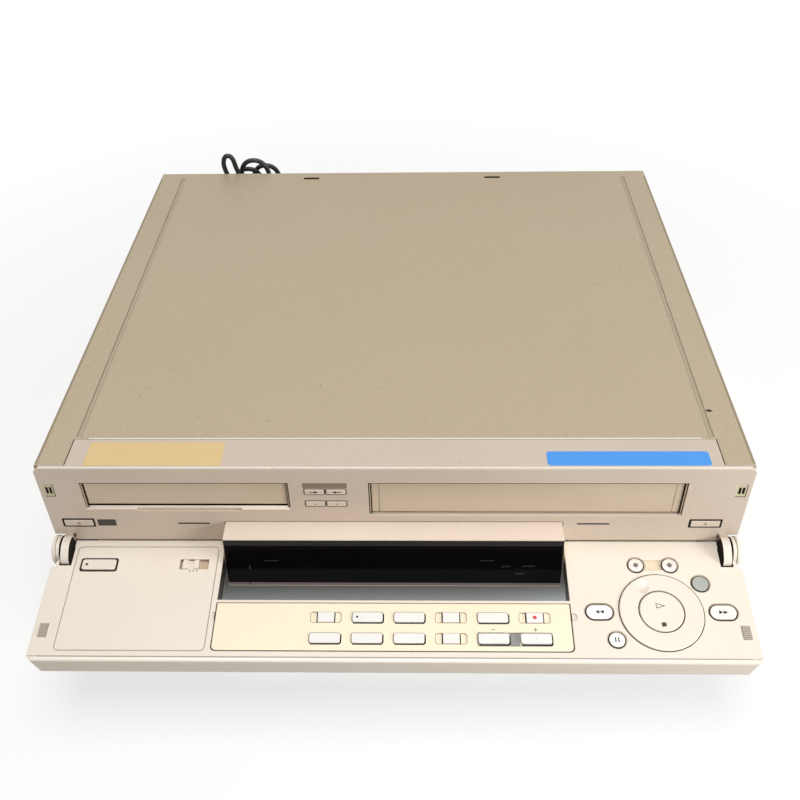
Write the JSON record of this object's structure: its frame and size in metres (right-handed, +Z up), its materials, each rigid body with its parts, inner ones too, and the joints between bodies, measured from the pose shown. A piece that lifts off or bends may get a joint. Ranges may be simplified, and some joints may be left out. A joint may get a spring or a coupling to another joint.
{
  "type": "dv vhs video deck",
  "caption": "Home video deck with a DV cassette slot, a VHS cassette slot, a protruding display window, a fold-down control flap with keys and a shuttle ring, and a bundled mains lead.",
  "frame": {"origin": "centre of the deck's bounding box, without its mains lead, at the level of the feet's soles", "axes": "+X to the right seen from the front, +Y from the front to the back, +Z up"},
  "size_m": [0.4328, 0.5759, 0.1651],
  "materials": {
    "cover_paint": "satin",
    "fascia_plastic": "satin champagne",
    "door_plastic": "satin champagne",
    "flap_plastic": "satin ivory champagne",
    "gold_panel": "satin pale gold",
    "button_plastic": "satin",
    "silver_plastic": "metallic",
    "grey_plastic": "satin grey",
    "dark_window": "smoked, polished",
    "tube_glass": "polished",
    "window_green": "moulded yellow-green",
    "pad_rubber": "matte",
    "black_rubber": "matte",
    "zinc_steel": "zinc plated",
    "screw_steel": "blackened steel",
    "jack_metal": "nickel plated",
    "deck_aluminium": "machined",
    "board_laminate": "green solder mask",
    "lead_vinyl": "soft vinyl",
    "tie_vinyl": "vinyl tie"
  },
  "bodies": {
    "deck": {"top_cover": "cover_paint", "bottom_chassis": "zinc_steel", "feet": "black_rubber", "rear_panel": "zinc_steel", "rear_jacks": "jack_metal", "case_screws": "screw_steel", "front_fascia": "fascia_plastic", "side_windows": "window_green", "display_housing": "fascia_plastic", "display_window": "dark_window", "display_tube": "tube_glass", "lower_front": "grey_plastic", "hinge_pins": "screw_steel", "vhs_deck_plate": "deck_aluminium", "vhs_cage": "zinc_steel", "dv_deck_plate": "deck_aluminium", "dv_cage": "zinc_steel", "circuit_boards": "board_laminate", "cord_gland": "black_rubber", "mains_lead": "lead_vinyl", "lead_hank": "lead_vinyl", "lead_tie": "tie_vinyl", "mains_plug": "lead_vinyl"},
    "control_flap": {"flap_shell": "flap_plastic", "flap_back": "grey_plastic", "flap_board": "board_laminate", "button_panel": "gold_panel", "grip_pads": "pad_rubber"},
    "dv_door": {"dv_door": "door_plastic"},
    "vhs_door": {"vhs_door": "door_plastic"},
    "dv_eject_button": {"dv_eject_button": "button_plastic"},
    "vhs_eject_button": {"vhs_eject_button": "button_plastic"},
    "copy_right_button": {"copy_right_button": "button_plastic"},
    "copy_left_button": {"copy_left_button": "button_plastic"},
    "menu_left_button": {"menu_left_button": "button_plastic"},
    "menu_right_button": {"menu_right_button": "button_plastic"},
    "power_button": {"power_button": "button_plastic"},
    "rewind_button": {"rewind_button": "button_plastic"},
    "forward_button": {"forward_button": "button_plastic"},
    "dv_select_button": {"dv_select_button": "button_plastic"},
    "vhs_select_button": {"vhs_select_button": "button_plastic"},
    "jog_mode_button": {"jog_mode_button": "grey_plastic"},
    "pause_button": {"pause_button": "button_plastic"},
    "upper_key_1": {"upper_key_1": "button_plastic"},
    "upper_key_2": {"upper_key_2": "button_plastic"},
    "upper_key_3": {"upper_key_3": "button_plastic"},
    "upper_key_4": {"upper_key_4": "button_plastic"},
    "upper_key_5": {"upper_key_5": "button_plastic"},
    "upper_key_6": {"upper_key_6": "button_plastic"},
    "lower_key_1": {"lower_key_1": "button_plastic"},
    "lower_key_2": {"lower_key_2": "button_plastic"},
    "lower_key_3": {"lower_key_3": "button_plastic"},
    "lower_key_4": {"lower_key_4": "button_plastic"},
    "lower_key_5": {"lower_key_5": "button_plastic"},
    "lower_key_6": {"lower_key_6": "button_plastic"},
    "slide_knob": {"slide_knob": "silver_plastic"},
    "shuttle_ring": {"shuttle_ring": "silver_plastic"},
    "play_stop_disc": {"play_stop_disc": "silver_plastic"},
    "vhs_drum": {"vhs_drum": "deck_aluminium"},
    "dv_drum": {"dv_drum": "deck_aluminium"}
  },
  "joints": [
    {"name": "flap_hinge", "type": "hinge", "parent": "deck", "child": "control_flap", "pos_m": [0, -0.15839, 0.0793], "axis": [1, 0, 0], "range_deg": [0, 79.7]},
    {"name": "dv_door_hinge", "type": "hinge", "parent": "deck", "child": "dv_door", "pos_m": [0, -0.14829, 0.1307], "axis": [1, 0, 0], "range_deg": [0, 80], "stiffness_Nm_per_rad": 0.008, "springref_deg": -11.46},
    {"name": "vhs_door_hinge", "type": "hinge", "parent": "deck", "child": "vhs_door", "pos_m": [0, -0.14829, 0.1307], "axis": [1, 0, 0], "range_deg": [0, 80], "stiffness_Nm_per_rad": 0.008, "springref_deg": -11.46},
    {"name": "dv_eject_button_press", "type": "slide", "parent": "deck", "child": "dv_eject_button", "axis": [0, 1, 0], "range_m": [0, 0.001], "stiffness_N_per_m": 400, "springref_m": -0.0004},
    {"name": "vhs_eject_button_press", "type": "slide", "parent": "deck", "child": "vhs_eject_button", "axis": [0, 1, 0], "range_m": [0, 0.001], "stiffness_N_per_m": 400, "springref_m": -0.0004},
    {"name": "copy_right_button_press", "type": "slide", "parent": "deck", "child": "copy_right_button", "axis": [0, 1, 0], "range_m": [0, 0.001], "stiffness_N_per_m": 400, "springref_m": -0.0004},
    {"name": "copy_left_button_press", "type": "slide", "parent": "deck", "child": "copy_left_button", "axis": [0, 1, 0], "range_m": [0, 0.001], "stiffness_N_per_m": 400, "springref_m": -0.0004},
    {"name": "menu_left_button_press", "type": "slide", "parent": "deck", "child": "menu_left_button", "axis": [0, 1, 0], "range_m": [0, 0.001], "stiffness_N_per_m": 400, "springref_m": -0.0004},
    {"name": "menu_right_button_press", "type": "slide", "parent": "deck", "child": "menu_right_button", "axis": [0, 1, 0], "range_m": [0, 0.001], "stiffness_N_per_m": 400, "springref_m": -0.0004},
    {"name": "power_button_press", "type": "slide", "parent": "control_flap", "child": "power_button", "axis": [0, 0.1779, -0.984], "range_m": [0, 0.0006], "stiffness_N_per_m": 400, "springref_m": -0.0003},
    {"name": "rewind_button_press", "type": "slide", "parent": "control_flap", "child": "rewind_button", "axis": [0, 0.1779, -0.984], "range_m": [0, 0.0006], "stiffness_N_per_m": 400, "springref_m": -0.0003},
    {"name": "forward_button_press", "type": "slide", "parent": "control_flap", "child": "forward_button", "axis": [0, 0.1779, -0.984], "range_m": [0, 0.0006], "stiffness_N_per_m": 400, "springref_m": -0.0003},
    {"name": "dv_select_button_press", "type": "slide", "parent": "control_flap", "child": "dv_select_button", "axis": [0, 0.1779, -0.984], "range_m": [0, 0.0006], "stiffness_N_per_m": 400, "springref_m": -0.0003},
    {"name": "vhs_select_button_press", "type": "slide", "parent": "control_flap", "child": "vhs_select_button", "axis": [0, 0.1779, -0.984], "range_m": [0, 0.0006], "stiffness_N_per_m": 400, "springref_m": -0.0003},
    {"name": "jog_mode_button_press", "type": "slide", "parent": "control_flap", "child": "jog_mode_button", "axis": [0, 0.1779, -0.984], "range_m": [0, 0.0006], "stiffness_N_per_m": 400, "springref_m": -0.0003},
    {"name": "pause_button_press", "type": "slide", "parent": "control_flap", "child": "pause_button", "axis": [0, 0.1779, -0.984], "range_m": [0, 0.0006], "stiffness_N_per_m": 400, "springref_m": -0.0003},
    {"name": "upper_key_1_press", "type": "slide", "parent": "control_flap", "child": "upper_key_1", "axis": [0, 0.1779, -0.984], "range_m": [0, 0.0006], "stiffness_N_per_m": 400, "springref_m": -0.0003},
    {"name": "upper_key_2_press", "type": "slide", "parent": "control_flap", "child": "upper_key_2", "axis": [0, 0.1779, -0.984], "range_m": [0, 0.0006], "stiffness_N_per_m": 400, "springref_m": -0.0003},
    {"name": "upper_key_3_press", "type": "slide", "parent": "control_flap", "child": "upper_key_3", "axis": [0, 0.1779, -0.984], "range_m": [0, 0.0006], "stiffness_N_per_m": 400, "springref_m": -0.0003},
    {"name": "upper_key_4_press", "type": "slide", "parent": "control_flap", "child": "upper_key_4", "axis": [0, 0.1779, -0.984], "range_m": [0, 0.0006], "stiffness_N_per_m": 400, "springref_m": -0.0003},
    {"name": "upper_key_5_press", "type": "slide", "parent": "control_flap", "child": "upper_key_5", "axis": [0, 0.1779, -0.984], "range_m": [0, 0.0006], "stiffness_N_per_m": 400, "springref_m": -0.0003},
    {"name": "upper_key_6_press", "type": "slide", "parent": "control_flap", "child": "upper_key_6", "axis": [0, 0.1779, -0.984], "range_m": [0, 0.0006], "stiffness_N_per_m": 400, "springref_m": -0.0003},
    {"name": "lower_key_1_press", "type": "slide", "parent": "control_flap", "child": "lower_key_1", "axis": [0, 0.1779, -0.984], "range_m": [0, 0.0006], "stiffness_N_per_m": 400, "springref_m": -0.0003},
    {"name": "lower_key_2_press", "type": "slide", "parent": "control_flap", "child": "lower_key_2", "axis": [0, 0.1779, -0.984], "range_m": [0, 0.0006], "stiffness_N_per_m": 400, "springref_m": -0.0003},
    {"name": "lower_key_3_press", "type": "slide", "parent": "control_flap", "child": "lower_key_3", "axis": [0, 0.1779, -0.984], "range_m": [0, 0.0006], "stiffness_N_per_m": 400, "springref_m": -0.0003},
    {"name": "lower_key_4_press", "type": "slide", "parent": "control_flap", "child": "lower_key_4", "axis": [0, 0.1779, -0.984], "range_m": [0, 0.0006], "stiffness_N_per_m": 400, "springref_m": -0.0003},
    {"name": "lower_key_5_press", "type": "slide", "parent": "control_flap", "child": "lower_key_5", "axis": [0, 0.1779, -0.984], "range_m": [0, 0.0006], "stiffness_N_per_m": 400, "springref_m": -0.0003},
    {"name": "lower_key_6_press", "type": "slide", "parent": "control_flap", "child": "lower_key_6", "axis": [0, 0.1779, -0.984], "range_m": [0, 0.0006], "stiffness_N_per_m": 400, "springref_m": -0.0003},
    {"name": "input_switch_slide", "type": "slide", "parent": "control_flap", "child": "slide_knob", "axis": [1, 0, 0], "range_m": [0, 0.0046]},
    {"name": "shuttle_turn", "type": "hinge", "parent": "control_flap", "child": "shuttle_ring", "pos_m": [0.1611, -0.2007, 0.07165], "axis": [0, -0.1779, 0.984], "range_deg": [-70, 70], "stiffness_Nm_per_rad": 0.02},
    {"name": "play_stop_rock", "type": "hinge", "parent": "control_flap", "child": "play_stop_disc", "pos_m": [0.1611, -0.20003, 0.06791], "axis": [1, 0, 0], "range_deg": [-1.5, 1.5], "stiffness_Nm_per_rad": 1},
    {"name": "vhs_drum_spin", "type": "hinge", "parent": "deck", "child": "vhs_drum", "pos_m": [0.08125, 0.03681, 0.062], "axis": [0, -0.0872, 0.9962], "continuous": true},
    {"name": "dv_drum_spin", "type": "hinge", "parent": "deck", "child": "dv_drum", "pos_m": [-0.12645, -0.01719, 0.08], "axis": [0, -0.1564, 0.9877], "continuous": true}
  ]
}
